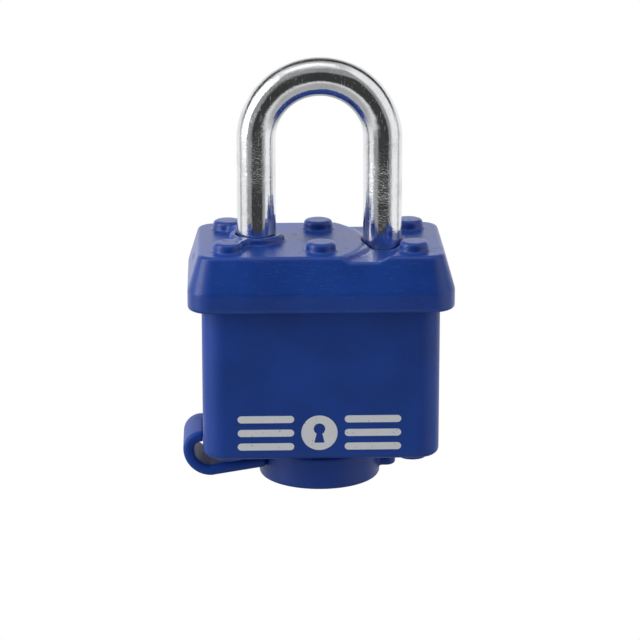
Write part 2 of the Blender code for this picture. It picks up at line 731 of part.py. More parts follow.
def make_shell():
    bore = circle(0, 0, PLUG_BORE, SIDES_PLUG)
    mesh = flat_mesh("cylinder_shell", [cylinder_outline(0, 0), bore], SHELL_Z, SHELL_TOP)
    shell = add_part("cylinder_shell", mesh, "brass")
    along_x = Matrix.Rotation(math.pi / 2, 4, "Y")
    for i, z in enumerate(pin_heights()):
        place = Matrix.Translation((0, 0, z)) @ along_x
        end = PIN_HOUSING_END + FIT
        start = PLUG_RADIUS / 2
        name = f"shell_chamber_{i + 1}"
        boolean(shell, rod_cutter(name, CHAMBER, start, end, SIDES_SMALL, place))
    half = PIN_HOUSING_HALF
    low = PIN_HOUSING_END + FIT
    strip = [(low, -half), (low + CHAMBER_COVER, -half), (low + CHAMBER_COVER, half), (low, half)]
    add_part("chamber_cover", flat_mesh("chamber_cover", [strip], SHELL_Z, SHELL_TOP), "brass")


def make_plug():
    face = BODY_Z + FIT
    neck_top = LEVER_MID - LEVER_THICKNESS / 2 - FIT
    tail_top = LEVER_MID + LEVER_THICKNESS / 2
    profile = [
        (0, tail_top),
        (PLUG_TAIL_RADIUS, tail_top),
        (PLUG_TAIL_RADIUS, neck_top),
        (PLUG_NECK_RADIUS, neck_top),
        (PLUG_NECK_RADIUS, SHELL_TOP),
        (PLUG_RADIUS, SHELL_TOP),
        (PLUG_RADIUS, SHELL_Z),
        (PLUG_FACE_RADIUS, SHELL_Z),
        (PLUG_FACE_RADIUS, face),
        (0, face),
    ]
    plug = add_part("cylinder_plug", profile_mesh("cylinder_plug", profile), "brass")
    screw(plug, SIDES_PLUG)
    half_width = KEYWAY_WIDTH / 2
    half_height = KEYWAY_HEIGHT / 2
    keyway_top = pin_heights()[-1] + FIRST_PIN_ABOVE_SHELL / 2
    low = (-half_width, -half_height, face - FIT)
    boolean(plug, box_cutter("keyway", low, (half_width, half_height, keyway_top)))
    along_y = Matrix.Rotation(-math.pi / 2, 4, "X")
    for i, z in enumerate(pin_heights()):
        place = Matrix.Translation((0, 0, z)) @ along_y
        start = KEYWAY_HEIGHT / 4
        end = PLUG_RADIUS + FIT
        name = f"plug_chamber_{i + 1}"
        boolean(plug, rod_cutter(name, CHAMBER, start, end, SIDES_SMALL, place))


def make_pins():
    """Key pins in the plug, driver pins and springs in the housing, all at the shear line."""
    shear = PLUG_RADIUS * math.cos(math.asin(PIN_RADIUS / PLUG_RADIUS))
    key_end = shear - FIT / 2
    driver_start = PLUG_BORE + FIT
    driver_end = driver_start + DRIVER_PIN_LENGTH
    spring_start = driver_end + FIT + PIN_SPRING_WIRE / 2
    spring_length = PIN_HOUSING_END - PIN_SPRING_WIRE / 2 - spring_start
    coil_radius = PIN_RADIUS - PIN_SPRING_WIRE / 2
    for i, z in enumerate(pin_heights()):
        length = KEY_PIN_LENGTH - i * KEY_PIN_STEP
        start = key_end - length
        key_path = [(0, start, z), (0, start + KEY_PIN_TAPER, z), (0, key_end, z)]
        key_pin = wire_mesh(f"key_pin_{i + 1}", key_path, PIN_RADIUS, SIDES_SMALL, [KEY_PIN_TIP, 1.0, 1.0])
        smooth(key_pin)
        add_part(f"key_pin_{i + 1}", key_pin, "pin_brass")
        driver_path = [(driver_start, 0, z), (driver_end, 0, z)]
        driver = wire_mesh(f"driver_pin_{i + 1}", driver_path, PIN_RADIUS, SIDES_SMALL)
        smooth(driver)
        add_part(f"driver_pin_{i + 1}", driver, "pin_brass")
        coil = coil_points(coil_radius, spring_length, PIN_SPRING_TURNS, SIDES_COIL)
        path = [(spring_start + along, side, z + up) for side, up, along in coil]
        spring = wire_mesh(f"pin_spring_{i + 1}", path, PIN_SPRING_WIRE / 2, SIDES_THIN_WIRE)
        smooth(spring)
        add_part(f"pin_spring_{i + 1}", spring, "spring_steel")


# Keyway cover and strap


def hinge_axis():
    """Middle of the strap's loop, at the jacket's lower left corner: (x, z)."""
    return -(JACKET_WIDTH / 2 - HINGE_INSET), JACKET_Z - FIT


def make_key_cover():
    """A moulded cup over the keyway, with a spigot up into the jacket's hole and a pull tab."""
    top = CAP_HEIGHT
    spigot_top = JACKET_Z + CAP_SPIGOT_HEIGHT - FIT
    inside = CAP_SPIGOT_RADIUS - CAP_SPIGOT_WALL
    profile = [
        (0, CAP_WALL),
        (inside, CAP_WALL),
        (inside, spigot_top),
        (CAP_SPIGOT_RADIUS, spigot_top),
        (CAP_SPIGOT_RADIUS, CAP_WALL),
        (CAP_RADIUS - CAP_WALL, CAP_WALL),
        (CAP_RADIUS - CAP_WALL, top),
        (CAP_RADIUS, top),
        (CAP_RADIUS, CAP_BOTTOM_ROUND),
        (CAP_RADIUS - CAP_BOTTOM_ROUND, 0),
        (0, 0),
    ]
    hinge_x, hinge_z = hinge_axis()
    moved = [(r, z - hinge_z) for r, z in profile]
    mesh = profile_mesh("key_cover", moved)
    cap = add_part("key_cover", mesh, "cover_blue")
    screw(cap, SIDES_LARGE)
    # The piece is modelled about its hinge, so that its origin lies on the axis it swings on.
    hinge = bpy.data.objects.new("key_cover_hinge", None)
    hinge.location = (hinge_x, 0, hinge_z)
    PARTS.objects.link(hinge)
    cap.parent = hinge
    cap.location = (-hinge_x, 0, 0)
    high = top - TAB_DROP
    start = CAP_RADIUS - CAP_WALL / 2
    end = CAP_RADIUS + TAB_LENGTH
    half = TAB_WIDTH / 2
    corner = TAB_CORNER
    outline = [(start, -half), (end - corner, -half)]
    outline += arc(end - corner, -half + corner, corner, -math.pi / 2, 0, TAB_CORNER_STEPS)[1:]
    outline += arc(end - corner, half - corner, corner, 0, math.pi / 2, TAB_CORNER_STEPS)
    outline.append((start, half))
    tab = add_cutter("pull_tab", flat_mesh("pull_tab", [outline], high - TAB_THICKNESS, high))
    boolean(cap, tab, "UNION")


def strap_path():
    """The strap's middle line in the XZ plane, from the jacket's wall round to the keyway cover."""
    root_x = -(JACKET_WIDTH / 2 + FIT)
    root_z = JACKET_Z + STRAP_RISE
    path = [(root_x, root_z)]
    quarter = math.pi / 2
    path += arc(root_x, root_z - STRAP_BULGE, STRAP_BULGE, quarter, 2 * quarter, STRAP_BULGE_STEPS)[1:]
    low_x = root_x - STRAP_BULGE + STRAP_DROP
    drop_steps = STRAP_DROP_STEPS
    path += arc(low_x, root_z - STRAP_BULGE, STRAP_DROP, 2 * quarter, 3 * quarter, drop_steps)[1:]
    path.append((-(CAP_RADIUS + FIT), STRAP_AT_CAP))
    return path


def make_strap():
    path = [Vector(p) for p in strap_path()]
    half = STRAP_THICKNESS / 2
    outer = []
    inner = []
    for i, point in enumerate(path):
        ahead = path[min(i + 1, len(path) - 1)] - path[max(i - 1, 0)]
        if i == 0:
            ahead = Vector((-1, 0))
        if i == len(path) - 1:
            ahead = Vector((1, 0))
        side = Vector((ahead.y, -ahead.x)).normalized() * half
        outer.append(tuple(point + side))
        inner.append(tuple(point - side))
    outline = outer + inner[::-1]
    mesh = flat_mesh("key_cover_strap", [outline], -STRAP_WIDTH / 2, STRAP_WIDTH / 2)
    mesh.transform(Matrix.Rotation(math.pi / 2, 4, "X"))
    add_part("key_cover_strap", mesh, "strap_blue")


make_jacket()
make_top_cover()
make_plates()
make_rivets()
make_shackle()
make_shackle_spring()
make_levers()
make_cam()
make_shell()
make_plug()
make_pins()
make_key_cover()
make_strap()
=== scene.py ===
import math

import bpy
import numpy as np
from mathutils import Matrix, Vector


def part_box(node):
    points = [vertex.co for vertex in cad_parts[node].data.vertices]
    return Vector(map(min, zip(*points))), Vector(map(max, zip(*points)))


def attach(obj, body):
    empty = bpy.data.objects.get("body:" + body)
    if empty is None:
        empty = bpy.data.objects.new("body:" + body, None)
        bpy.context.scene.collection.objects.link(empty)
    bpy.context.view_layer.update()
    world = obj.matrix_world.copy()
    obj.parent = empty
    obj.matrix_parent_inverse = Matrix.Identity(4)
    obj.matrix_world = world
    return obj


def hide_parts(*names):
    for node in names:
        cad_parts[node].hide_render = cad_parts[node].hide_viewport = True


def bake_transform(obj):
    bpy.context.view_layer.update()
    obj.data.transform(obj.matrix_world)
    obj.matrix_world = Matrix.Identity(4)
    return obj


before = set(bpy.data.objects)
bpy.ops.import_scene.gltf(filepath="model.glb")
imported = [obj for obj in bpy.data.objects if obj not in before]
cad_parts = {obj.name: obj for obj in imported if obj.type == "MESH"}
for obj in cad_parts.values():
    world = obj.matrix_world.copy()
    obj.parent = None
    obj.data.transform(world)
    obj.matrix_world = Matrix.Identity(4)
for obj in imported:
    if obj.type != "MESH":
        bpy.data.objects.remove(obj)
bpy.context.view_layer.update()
mm = 0.001


# Node trees. Shader and geometry trees are written the same way: a Wire is a
# socket that Python can calculate with, and Tree.add makes any other node.

class Wire:
    def __init__(self, tree, socket):
        self.tree = tree
        self.socket = socket

    def calc(self, operation, *values):
        node = self.tree.nodes.new("ShaderNodeMath")
        node.operation = operation
        for slot, value in zip(node.inputs, values):
            self.tree.put(slot, value)
        return Wire(self.tree, node.outputs[0])

    def __add__(self, other):
        return self.calc("ADD", self, other)

    def __radd__(self, other):
        return self.calc("ADD", other, self)

    def __sub__(self, other):
        return self.calc("SUBTRACT", self, other)

    def __rsub__(self, other):
        return self.calc("SUBTRACT", other, self)

    def __mul__(self, other):
        return self.calc("MULTIPLY", self, other)

    def __rmul__(self, other):
        return self.calc("MULTIPLY", other, self)

    def __truediv__(self, other):
        return self.calc("DIVIDE", self, other)

    def __rtruediv__(self, other):
        return self.calc("DIVIDE", other, self)

    def __neg__(self):
        return self.calc("MULTIPLY", self, -1.0)

    def __abs__(self):
        return self.calc("ABSOLUTE", self)

    def least(self, other):
        return self.calc("MINIMUM", self, other)

    def most(self, other):
        return self.calc("MAXIMUM", self, other)

    def sin(self):
        return self.calc("SINE", self)

    def cos(self):
        return self.calc("COSINE", self)

    # 0 below low, 1 above high, and a soft step between
    def step(self, low, high):
        return self.tree.add("ShaderNodeMapRange", {"interpolation_type": "SMOOTHSTEP"},
                             {"Value": self, "From Min": low, "From Max": high})

    # 1 from low to high, with soft ends
    def between(self, low, high, soft):
        half = soft / 2
        return self.step(low - half, low + half) * (1.0 - self.step(high - half, high + half))


class Tree:
    def __init__(self, tree):
        self.tree = tree
        self.nodes = tree.nodes

    def put(self, slot, value):
        if isinstance(value, Wire):
            self.tree.links.new(value.socket, slot)
        else:
            slot.default_value = value

    def add(self, kind, settings=None, values=None, out=0):
        node = self.nodes.new(kind)
        for key, value in (settings or {}).items():
            setattr(node, key, value)
        for key, value in (values or {}).items():
            self.put(node.inputs[key], value)
        return Wire(self, node.outputs[out])

    def vector(self, operation, first, second):
        return self.add("ShaderNodeVectorMath", {"operation": operation}, {0: first, 1: second})

    def parts(self, vector):
        node = self.nodes.new("ShaderNodeSeparateXYZ")
        self.put(node.inputs[0], vector)
        return [Wire(self, socket) for socket in node.outputs]

    def join(self, x, y, z):
        return self.add("ShaderNodeCombineXYZ", {}, {0: x, 1: y, 2: z})

    def blend(self, share, first, second):
        return self.add("ShaderNodeMix", {"data_type": "RGBA"}, {0: share, 6: first, 7: second}, 2)


# A Principled material that reads Object coordinates in millimetres.
class Paint(Tree):
    def __init__(self, name, **constants):
        self.material = bpy.data.materials.new(name)
        self.material.use_nodes = True
        super().__init__(self.material.node_tree)
        self.shader = self.nodes["Principled BSDF"]
        place = self.add("ShaderNodeTexCoord", out=3)
        self.place = self.vector("MULTIPLY", place, (1000, 1000, 1000))
        self.set(**constants)

    def set(self, **values):
        for key, value in values.items():
            self.put(self.shader.inputs[key.replace("_", " ")], value)

    def noise(self, scale, detail=3.0, stretch=(1, 1, 1), roughness=0.55, distort=0.0):
        at = self.vector("MULTIPLY", self.place, stretch)
        return self.add("ShaderNodeTexNoise", {}, {"Vector": at, "Scale": scale, "Detail": detail,
                                                   "Roughness": roughness, "Distortion": distort})

    def cells(self, scale):
        return self.add("ShaderNodeTexVoronoi", {}, {"Vector": self.place, "Scale": scale})

    # Thin scratches that run along one direction
    def scratches(self, stretch, scale, share):
        return self.noise(scale, 2.0, stretch, 0.4, 0.6).step(share, share + 0.03)

    def attribute(self, name):
        return self.add("ShaderNodeAttribute", {"attribute_name": name}, out=2)

    def bump(self, height, depth):
        self.set(Normal=self.add("ShaderNodeBump", {}, {"Height": height, "Distance": depth * mm,
                                                        "Strength": 1.0}))


def shade(rgb, factor):
    return (rgb[0] * factor, rgb[1] * factor, rgb[2] * factor, 1.0)


# Moulded plastic: grained, faintly mottled, polished and worn lighter on its edges, where the lighter blue
# is also a painted highlight, and dusty in its corners
def plasticPaint(name, colour, roughness, grain, dust=0.5, shine=0.5):
    p = Paint(name, IOR=1.46, Specular_IOR_Level=shine)
    mottle = p.noise(0.09, 3.0)
    speck = p.noise(2.6, 2.0)
    edge = p.attribute("edge")
    base = p.blend(mottle.step(0.3, 0.7), shade(colour, 0.90), shade(colour, 1.10))
    # Convex edges turn a lighter blue: partly edge wear, partly a painted highlight
    worn = edge.step(0.25, 0.9) * p.noise(0.9, 4.0).step(0.35, 0.65)
    rubbedAndHighlight = (0.10, 0.20, 0.55, 1.0)
    base = p.blend(worn * 0.16, base, rubbedAndHighlight)
    dusty = (-edge).step(0.1, 0.7) * p.noise(1.3, 5.0).step(0.4, 0.75) * dust
    lint = p.noise(5.0, 1.0).step(0.70, 0.76) * 0.18 * dust
    dustColour = (0.20, 0.27, 0.42, 1.0)
    base = p.blend((dusty * 0.14).most(lint), base, dustColour)
    lines = p.scratches((1.0, 1.0, 14.0), 0.35, 0.66).most(p.scratches((9.0, 9.0, 0.8), 0.5, 0.70))
    p.set(Base_Color=base,
          Roughness=roughness + (mottle - 0.5) * 0.10 + dusty * 0.2 + lines * 0.07 - worn * 0.06)
    fine = p.noise(7.0, 2.0)
    p.bump(fine * 0.7 + speck * 0.6 - lines * 0.5, grain)
    return p.material


# Chrome plate over a ground steel rod: a wavy polish, pits and a few rub marks
def chromePaint(name):
    p = Paint(name, Metallic=1.0)
    wave = p.noise(0.55, 3.0)
    pits = p.cells(2.3).step(0.16, 0.05) * p.noise(0.35, 2.0).step(0.52, 0.66)
    haze = p.noise(0.16, 5.0).step(0.42, 0.72)
    lines = p.scratches((6.0, 6.0, 0.5), 0.8, 0.68)
    bright, hazed, pitted = (0.80, 0.81, 0.83, 1.0), (0.66, 0.67, 0.68, 1.0), (0.13, 0.12, 0.11, 1.0)
    base = p.blend(pits, p.blend(haze, bright, hazed), pitted)
    p.set(Base_Color=base, Roughness=0.055 + haze * 0.07 + lines * 0.10 + pits * 0.35)
    grit = p.noise(3.2, 3.0) * p.noise(0.10, 2.0).step(0.35, 0.65)
    p.bump(wave * 0.55 + grit * 0.55 - pits * 0.5 - lines * 0.12, 0.06)
    return p.material


# Bare metal parts: stretch gives the direction of the tool marks
def metalPaint(name, colour, roughness, stretch):
    p = Paint(name, Metallic=1.0)
    tarnish, dark = 0.35, (0.10, 0.08, 0.06, 1.0)
    marks = p.noise(1.4, 3.0, stretch)
    stain = p.noise(0.30, 4.0).step(0.42, 0.75)
    specks = p.cells(1.7).step(0.14, 0.04) * p.noise(0.5, 2.0).step(0.5, 0.6)
    base = p.blend(marks.step(0.35, 0.65), shade(colour, 0.84), shade(colour, 1.08))
    base = p.blend(stain * tarnish, base, shade(colour, 0.45))
    base = p.blend(specks * 0.8, base, dark)
    p.set(Base_Color=base, Roughness=roughness + (marks - 0.5) * 0.16 + stain * 0.12 + specks * 0.3)
    p.bump(marks * 0.8 + p.noise(3.5, 2.0) * 0.25 - specks * 0.6, 0.03)
    return p.material


blue = (0.0090, 0.0535, 0.320)
materials = {
    "upper_cover": plasticPaint("cover_plastic", (0.0075, 0.0530, 0.320), 0.32, 0.030),
    "jacket": plasticPaint("jacket_plastic", blue, 0.40, 0.016, 0.4, 0.35),
    # The keyway cover is the jacket's blue darkened to 0.86: painted shade from the jacket above it
    "key_cover": plasticPaint("key_cover_plastic", shade(blue, 0.86)[:3], 0.40, 0.016, 0.5, 0.35),
    "strap": plasticPaint("strap_plastic", blue, 0.46, 0.018, 0.3, 0.25),
    "chrome": chromePaint("chrome_plate"),
    "plates": metalPaint("stamped_steel", (0.52, 0.53, 0.55), 0.36, (1.0, 0.2, 9.0)),
    "rivets": metalPaint("rivet_steel", (0.60, 0.60, 0.61), 0.30, (1, 1, 8)),
    "levers": metalPaint("hardened_steel", (0.36, 0.37, 0.39), 0.32, (6.0, 0.8, 0.8)),
    "springs": metalPaint("spring_steel", (0.58, 0.59, 0.61), 0.24, (3, 3, 3)),
    "cylinder": metalPaint("turned_brass", (0.72, 0.53, 0.23), 0.28, (0.6, 0.6, 10.0)),
    "pins": metalPaint("pin_metal", (0.78, 0.62, 0.30), 0.22, (8.0, 8.0, 0.6)),
}


# White pad print, a little worn, so that the plastic shows through in specks
def inkPaint(name):
    p = Paint(name)
    worn = p.noise(2.2, 4.0).step(0.66, 0.70).most(p.noise(0.7, 5.0).step(0.70, 0.80) * 0.5)
    thin, thick = (0.76, 0.79, 0.84, 1.0), (0.85, 0.87, 0.90, 1.0)
    base = p.blend(p.noise(0.4, 2.0), thin, thick)
    p.set(Base_Color=p.blend(worn * 0.8, base, shade(blue, 1.1)), Roughness=0.55 - worn * 0.12)
    p.bump(p.noise(6.0, 2.0) - worn * 0.5, 0.01)
    return p.material


materials["print"] = inkPaint("white_print")
print("materials ready")


# Moulded pieces. Each is a field: how far a point is outside the piece, in mm,
# with soft joins, so that its fillets are as round as a mould's. The piece's
# mesh is laid on the surface where the field is nought, inside the box from
# boxLow to boxHigh.

def softMax(a, b, soft):
    near = np.maximum(soft - np.abs(a - b), 0) / soft
    return np.maximum(a, b) + near * near * soft / 4


def softMin(a, b, soft):
    return -softMax(-a, -b, soft)


def roundRect(x, y, halfX, halfY, corner):
    across = np.abs(x) - halfX + corner
    along = np.abs(y) - halfY + corner
    beyond = np.hypot(np.maximum(across, 0), np.maximum(along, 0))
    return beyond + np.minimum(np.maximum(across, along), 0) - corner


def ramp(t, soft):
    return softMax(t, np.zeros_like(t), soft)


def link(obj):
    bpy.context.scene.collection.objects.link(obj)
    return obj


def netMesh(name, field, size):
    grid = size["grid"]
    low = np.array(size["boxLow"], float)
    counts = np.ceil((np.array(size["boxHigh"]) - low) / grid).astype(int) + 1
    axes = [low[i] + grid * np.arange(counts[i]) for i in range(3)]
    solid = field(*np.meshgrid(*axes, indexing="ij", sparse=True)) < 0
    filled = np.zeros([n - 1 for n in solid.shape], np.int8)
    for i in (0, 1):
        for j in (0, 1):
            for k in (0, 1):
                corner = [slice(at, n - 1 + at) for at, n in zip((i, j, k), solid.shape)]
                filled += solid[tuple(corner)]
    cells = (filled > 0) & (filled < 8)
    number = np.full(cells.shape, -1)
    number[cells] = np.arange(cells.sum())
    points = low + grid * (np.argwhere(cells) + 0.5)
    quads = []
    for axis in range(3):
        a, b = (axis + 1) % 3, (axis + 2) % 3
        first = np.moveaxis(solid, (axis, a, b), (0, 1, 2))
        cellNumber = np.moveaxis(number, (axis, a, b), (0, 1, 2))
        crossing = (first[:-1] != first[1:])[:, 1:-1, 1:-1]
        spot = np.argwhere(crossing)
        i, j, k = spot.T
        quad = np.stack([cellNumber[i, j, k], cellNumber[i, j + 1, k],
                         cellNumber[i, j + 1, k + 1], cellNumber[i, j, k + 1]], 1)
        outward = first[i, j + 1, k + 1]
        quad[~outward] = quad[~outward][:, ::-1]
        quads.append(quad)
    quads = np.concatenate(quads)
    edges = np.concatenate([quads[:, [0, 1]], quads[:, [1, 2]], quads[:, [2, 3]], quads[:, [3, 0]]])
    edges = np.concatenate([edges, edges[:, ::-1]])
    degree = np.bincount(edges[:, 0], minlength=len(points))[:, None]

    # The middle of each point's neighbours
    def near(values):
        ends = values[edges[:, 1]]
        sums = [np.bincount(edges[:, 0], ends[:, c], len(points)) for c in range(3)]
        return np.stack(sums, 1) / degree

    def settle(points, times):
        for _ in range(times):
            value, slope = fieldAt(points)
            points = points - slope * np.clip(value, -grid / 2, grid / 2)[:, None]
        return points

    def fieldAt(points):
        h = grid * 0.05
        value = field(*points.T)
        steps = h * np.eye(3)
        slope = [(field(*(points + e).T) - field(*(points - e).T)) / (2 * h) for e in steps]
        slope = np.stack(slope, 1)
        leastSquare = 0.05
        return value, slope / np.maximum((slope ** 2).sum(1), leastSquare)[:, None]

    pull = 0.7  # how far each point moves toward the middle of its neighbours
    points = settle(points, 3)
    for _ in range(3):
        points = settle(points * (1 - pull) + near(points) * pull, 2)
    # How sharply the surface turns at each point: above 0 on an edge, below 0 in a corner
    edgeGain = 6
    away = near(points) - points
    _, slope = fieldAt(points)
    normal = slope / np.maximum(np.linalg.norm(slope, axis=1), 1e-6)[:, None]
    bend = -(away * normal).sum(1) / grid * edgeGain
    mesh = bpy.data.meshes.new(name)
    mesh.from_pydata((points * mm).tolist(), [], quads.tolist())
    mesh.attributes.new("edge", "FLOAT", "POINT").data.foreach_set("value", bend.astype(np.float32))
    mesh.shade_smooth()
    return link(bpy.data.objects.new(name, mesh))


def finishPiece(obj, body, slot, nodes=(), material=None):
    obj.data.materials.clear()
    obj.data.materials.append(material or materials[slot])
    if body:
        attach(obj, body)
    if nodes:
        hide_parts(*nodes)
    print(obj.name, len(obj.data.polygons), "faces")


legX = 11.5
bumpX, bumpY = 16.8, 8.2
steelStack = dict(halfX=20.15, halfY=11.25, corner=3.0, head=2.15)  # what the plastic leaves room for


# Distance from the nearest of the six places where a rivet comes through
def toRivet(x, y):
    column = bumpX * np.clip(np.round(x / bumpX), -1, 1)
    return np.hypot(x - column, np.abs(y) - bumpY)


cover = dict(width=48.3, depth=30.5, corner=4.6, low=34.7, crease=38.3, top=44.7,
             leanSide=1.95, leanFront=2.25, leanCos=0.95, cornerLean=1.6, rootDepth=6,
             bump=2.75, bumpHeight=1.7, bumpDraft=0.10,
             collar=5.1, collarHeight=1.35, collarDraft=0.12, collarGapX=0.6, collarGapY=0.2, web=1.5,
             channel=23.25, channelHalf=3.57, channelDepth=0.95, channelSlope=1.3, leg=3.87,
             rimX=21.95, rimY=13.05, rimCorner=4.5, rimTop=40.7, ceiling=42.7, headTop=43.9,
             gateIn=0.7, gateHeight=41.8, gate=0.75, gateStretch=0.7,
             boxLow=(-25, -16, 34.0), boxHigh=(25, 16, 47.2), grid=0.29)


def coverField(x, y, z):
    c, steel = cover, steelStack
    overTop = z - c["top"]
    root = c["low"] + c["rootDepth"] - z
    rise = ramp(z - c["crease"], 0.3) / (c["top"] - c["crease"])
    side = roundRect(x, y, c["width"] / 2 - c["leanSide"] * rise, c["depth"] / 2 - c["leanFront"] * rise,
                     c["corner"] - c["cornerLean"] * rise)
    body = softMax(side * c["leanCos"], overTop, 0.65)
    body = softMax(body, c["low"] - z, 0.7)
    bump = toRivet(x, y) - c["bump"] + c["bumpDraft"] * overTop
    bump = softMax(bump, overTop - c["bumpHeight"], 0.7)
    body = softMin(body, np.maximum(bump, root), 0.5)
    fromHeel = np.hypot(x + legX, y)
    # The collar stops short of the quarter behind and to the right of the leg
    openQuarter = np.maximum(-(x + legX + c["collarGapX"]), -(y - c["collarGapY"]))
    collar = softMax(fromHeel - c["collar"] + c["collarDraft"] * overTop, -openQuarter, 0.8)
    toBump = legX - bumpX
    t = np.clip(((x + legX) * toBump + np.abs(y) * bumpY) / (toBump ** 2 + bumpY ** 2), 0, 1)
    web = np.hypot(x + legX - t * toBump, np.abs(y) - t * bumpY) - c["web"]
    collar = softMax(softMin(collar, web, 1.2), overTop - c["collarHeight"], 0.7)
    body = softMin(body, np.maximum(collar, root), 0.6)
    wall = c["channelHalf"] - c["channelSlope"] * np.clip(-overTop / c["channelDepth"], 0, 1)
    channel = softMax(np.abs(fromHeel - c["channel"]) - wall, c["top"] - c["channelDepth"] - z, 0.5)
    body = softMax(body, -np.maximum(channel, -x), 0.55)
    wide = np.maximum(roundRect(x, y, c["rimX"], c["rimY"], c["rimCorner"]), z - c["rimTop"])
    narrow = np.maximum(roundRect(x, y, steel["halfX"], steel["halfY"], steel["corner"]), z - c["ceiling"])
    head = np.maximum(toRivet(x, y) - steel["head"], z - c["headTop"])
    body = softMax(body, -np.minimum(np.minimum(wide, narrow), head), 0.3)
    legs = np.minimum(fromHeel, np.hypot(x - legX, y)) - c["leg"]
    # The dimple where the mould was filled
    acrossGate = x + c["width"] / 2 - c["gateIn"]
    alongGate = y * c["gateStretch"]
    gate = np.sqrt(acrossGate ** 2 + alongGate ** 2 + (z - c["gateHeight"]) ** 2) - c["gate"]
    return softMax(softMax(body, -legs, 0.5), -gate, 0.25)


topCover = netMesh("top_cover_moulding", coverField, cover)
finishPiece(topCover, "lock_body", "upper_cover", ["top_cover"])

jacket = dict(width=43.3, depth=25.5, corner=4.2, low=6.3, top=40.4, floor=2.3, bottomRound=1.3,
              foot=2.7, footHeight=0.8, footRoot=1, noFootWithin=6, headLow=7.4, keyHole=5.6,
              boxLow=(-22.4, -13.5, 4.9), boxHigh=(22.4, 13.5, 41.2), grid=0.42)


# A wall and a floor joined by a round edge
def roundedBottom(side, down, radius):
    beyond = np.hypot(np.maximum(side + radius, 0), np.maximum(down + radius, 0))
    return beyond + np.minimum(np.maximum(side, down) + radius, 0) - radius


def jacketField(x, y, z):
    j, steel = jacket, steelStack
    side = roundRect(x, y, j["width"] / 2, j["depth"] / 2, j["corner"])
    body = softMax(roundedBottom(side, j["low"] - z, j["bottomRound"]), z - j["top"], 0.4)
    outerRivet = np.maximum(toRivet(x, y), j["noFootWithin"] - np.abs(x))
    feet = softMax(outerRivet - j["foot"], j["low"] - j["footHeight"] - z, 0.5)
    body = softMin(body, np.maximum(feet, z - j["low"] - j["footRoot"]), 0.5)
    pocket = roundRect(x, y, steel["halfX"], steel["halfY"], steel["corner"])
    pocket = np.maximum(pocket, j["low"] + j["floor"] - z)
    head = np.maximum(toRivet(x, y) - steel["head"], j["headLow"] - z)
    body = softMax(body, -np.minimum(pocket, head), 0.3)
    return softMax(body, j["keyHole"] - np.hypot(x, y), 0.5)


jacketPiece = netMesh("jacket_moulding", jacketField, jacket)
finishPiece(jacketPiece, "lock_body", "jacket", ["jacket"])

# A plain keyhole between stripes, printed where such locks carry a name
mark = dict(middle=-0.4, height=11.6, disc=3.3, hole=1.05, holeUp=0.75, slotHalf=0.95, slotLow=-1.9,
            stripe=1.35, pitch=2.6, inner=4.6, outer=14.9, thick=0.04)


def flatPiece(name, outlines, thick):
    curve = bpy.data.curves.new(name, "CURVE")
    curve.dimensions = "2D"
    curve.fill_mode = "BOTH"
    curve.extrude = thick / 2 * mm
    for outline in outlines:
        spline = curve.splines.new("POLY")
        spline.points.add(len(outline) - 1)
        for point, (x, y) in zip(spline.points, outline):
            point.co = (x * mm, y * mm, 0, 1)
        spline.use_cyclic_u = True
    guide = link(bpy.data.objects.new(name, curve))
    mesh = bpy.data.meshes.new_from_object(guide.evaluated_get(bpy.context.evaluated_depsgraph_get()))
    bpy.data.objects.remove(guide)
    return link(bpy.data.objects.new(name, mesh))


def arcPoints(x, y, radius, start, end, steps=24):
    turns = [math.radians(start + (end - start) * i / steps) for i in range(steps + 1)]
    return [(x + radius * math.cos(t), y + radius * math.sin(t)) for t in turns]


def stripe(left, right, y, width):
    half = width / 2
    return arcPoints(right - half, y, half, -90, 90, 8) + arcPoints(left + half, y, half, 90, 270, 8)


keyhole = arcPoints(0, mark["holeUp"], mark["hole"], -60, 240)
keyhole += [(-mark["slotHalf"], mark["slotLow"]), (mark["slotHalf"], mark["slotLow"])]
outlines = [arcPoints(0, 0, mark["disc"], 0, 360, 48)[:-1], keyhole]
for row in (-1, 0, 1):
    y = row * mark["pitch"]
    outlines.append(stripe(mark["inner"], mark["outer"], y, mark["stripe"]))
    outlines.append(stripe(-mark["outer"], -mark["inner"], y, mark["stripe"]))
frontMark = flatPiece("front_mark", outlines, mark["thick"])
place = Vector((mark["middle"], -(jacket["depth"] + mark["thick"]) / 2, mark["height"])) * mm
frontMark.data.transform(Matrix.Translation(place) @ Matrix.Rotation(math.pi / 2, 4, "X"))
finishPiece(frontMark, "lock_body", "jacket", material=materials["print"])

cap = dict(radius=11.2, height=6.0, wall=1.4, bottomRound=0.7, spigot=5.3, spigotWall=1.1, spigotTop=7.9,
           tabEnd=14.1, tabHalf=3.2, tabHigh=3.8, tabLow=1.9, tabRoot=2.5, tabCorner=1.8, tabFrom=6,
           boxLow=(-11.9, -11.9, -0.7), boxHigh=(14.8, 11.9, 8.6), grid=0.27)


def capField(x, y, z):
    c = cap
    away = np.hypot(x, y)
    shell = softMax(roundedBottom(away - c["radius"], -z, c["bottomRound"]), z - c["height"], 0.5)
    reach = c["tabEnd"] - c["radius"] + c["tabRoot"]
    flat = roundRect(x - c["radius"] + c["tabRoot"], y, reach, c["tabHalf"], c["tabCorner"])
    halfTab = (c["tabHigh"] - c["tabLow"]) / 2
    tab = softMax(flat, np.abs(z - c["tabLow"] - halfTab) - halfTab, 0.7)
    shell = softMin(shell, np.maximum(tab, c["tabFrom"] - x), 0.7)
    cavity = np.maximum(away - c["radius"] + c["wall"], c["wall"] - z)
    shell = softMax(shell, -cavity, 0.4)
    spigot = np.abs(away - c["spigot"] + c["spigotWall"] / 2) - c["spigotWall"] / 2
    spigot = softMax(softMax(spigot, z - c["spigotTop"], 0.5), c["wall"] / 2 - z, 0.2)
    return softMin(shell, spigot, 0.4)


capPiece = netMesh("key_cover_moulding", capField, cap)
finishPiece(capPiece, "key_cover", "key_cover", ["key_cover"])

